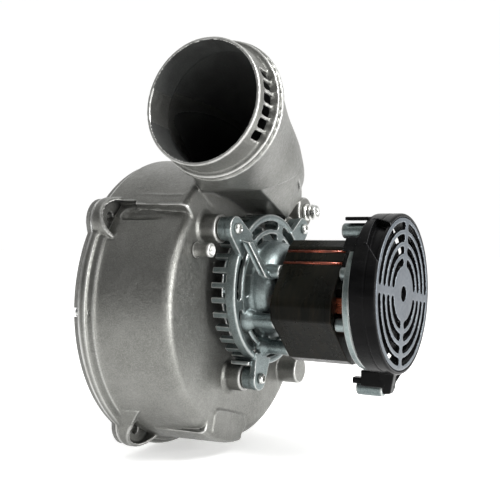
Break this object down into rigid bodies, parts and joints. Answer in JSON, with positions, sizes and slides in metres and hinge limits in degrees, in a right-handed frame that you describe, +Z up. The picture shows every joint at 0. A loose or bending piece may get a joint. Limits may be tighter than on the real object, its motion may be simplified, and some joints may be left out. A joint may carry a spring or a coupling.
{
  "type": "combustion fan",
  "caption": "Draft inducer blower: cast scroll housing with a round elbow outlet, vented motor bracket, shaded-pole motor and rear cooling fan under a slotted cover.",
  "frame": {"origin": "on the motor shaft's axis at the back face of the inlet gasket, which is the mounting plane", "axes": "+X along the motor shaft from the inlet to the fan cover, the outlet faces -Y and a little up, +Z up"},
  "size_m": [0.186, 0.2208, 0.2695],
  "materials": {
    "cast_aluminium": "matte as-cast",
    "zinc_casting": "bright die-cast",
    "plated_steel": "zinc plated",
    "sheet_steel": "aluminised sheet",
    "gasket_fibre": "dense fibre",
    "varnished_laminations": "baked dark varnish",
    "enamelled_copper": "enamelled copper",
    "sintered_bronze": "sintered bronze",
    "black_plastic": "glossy moulded",
    "grille_grey": "satin grey"
  },
  "bodies": {
    "fan_body": {"blower_housing": "cast_aluminium", "inlet_gasket": "gasket_fibre", "inlet_plate": "sheet_steel", "inlet_plate_screw_1": "plated_steel", "inlet_plate_screw_2": "plated_steel", "inlet_plate_screw_3": "plated_steel", "inlet_plate_screw_4": "plated_steel", "pressure_tap": "cast_aluminium", "boss_port": "plated_steel", "shaft_seal": "gasket_fibre", "motor_bracket": "zinc_casting", "bracket_screw_1": "plated_steel", "bracket_screw_2": "plated_steel", "bracket_screw_3": "plated_steel", "stator_stack": "varnished_laminations", "shading_bar_1": "enamelled_copper", "shading_bar_2": "enamelled_copper", "shading_bar_3": "enamelled_copper", "shading_bar_4": "enamelled_copper", "stator_coil": "enamelled_copper", "rear_shield": "zinc_casting", "through_bolt_1": "plated_steel", "through_bolt_2": "plated_steel", "through_bolt_3": "plated_steel", "through_bolt_4": "plated_steel", "front_bearing": "sintered_bronze", "rear_bearing": "sintered_bronze", "fan_cover": "black_plastic", "fan_grille": "grille_grey"},
    "rotor": {"rotor_shaft": "plated_steel", "rotor_core": "varnished_laminations", "rotor_end_ring_front": "zinc_casting", "rotor_end_ring_rear": "zinc_casting", "thrust_washer_front": "black_plastic", "thrust_washer_rear": "black_plastic", "heat_slinger": "zinc_casting", "impeller_wheel": "sheet_steel", "impeller_hub": "zinc_casting", "hub_set_screw": "plated_steel", "cooling_fan": "black_plastic", "fan_retaining_ring": "plated_steel"}
  },
  "joints": [
    {"name": "rotor_spin", "type": "hinge", "parent": "fan_body", "child": "rotor", "pos_m": [0.1, 0, 0], "axis": [1, 0, 0], "continuous": true}
  ]
}
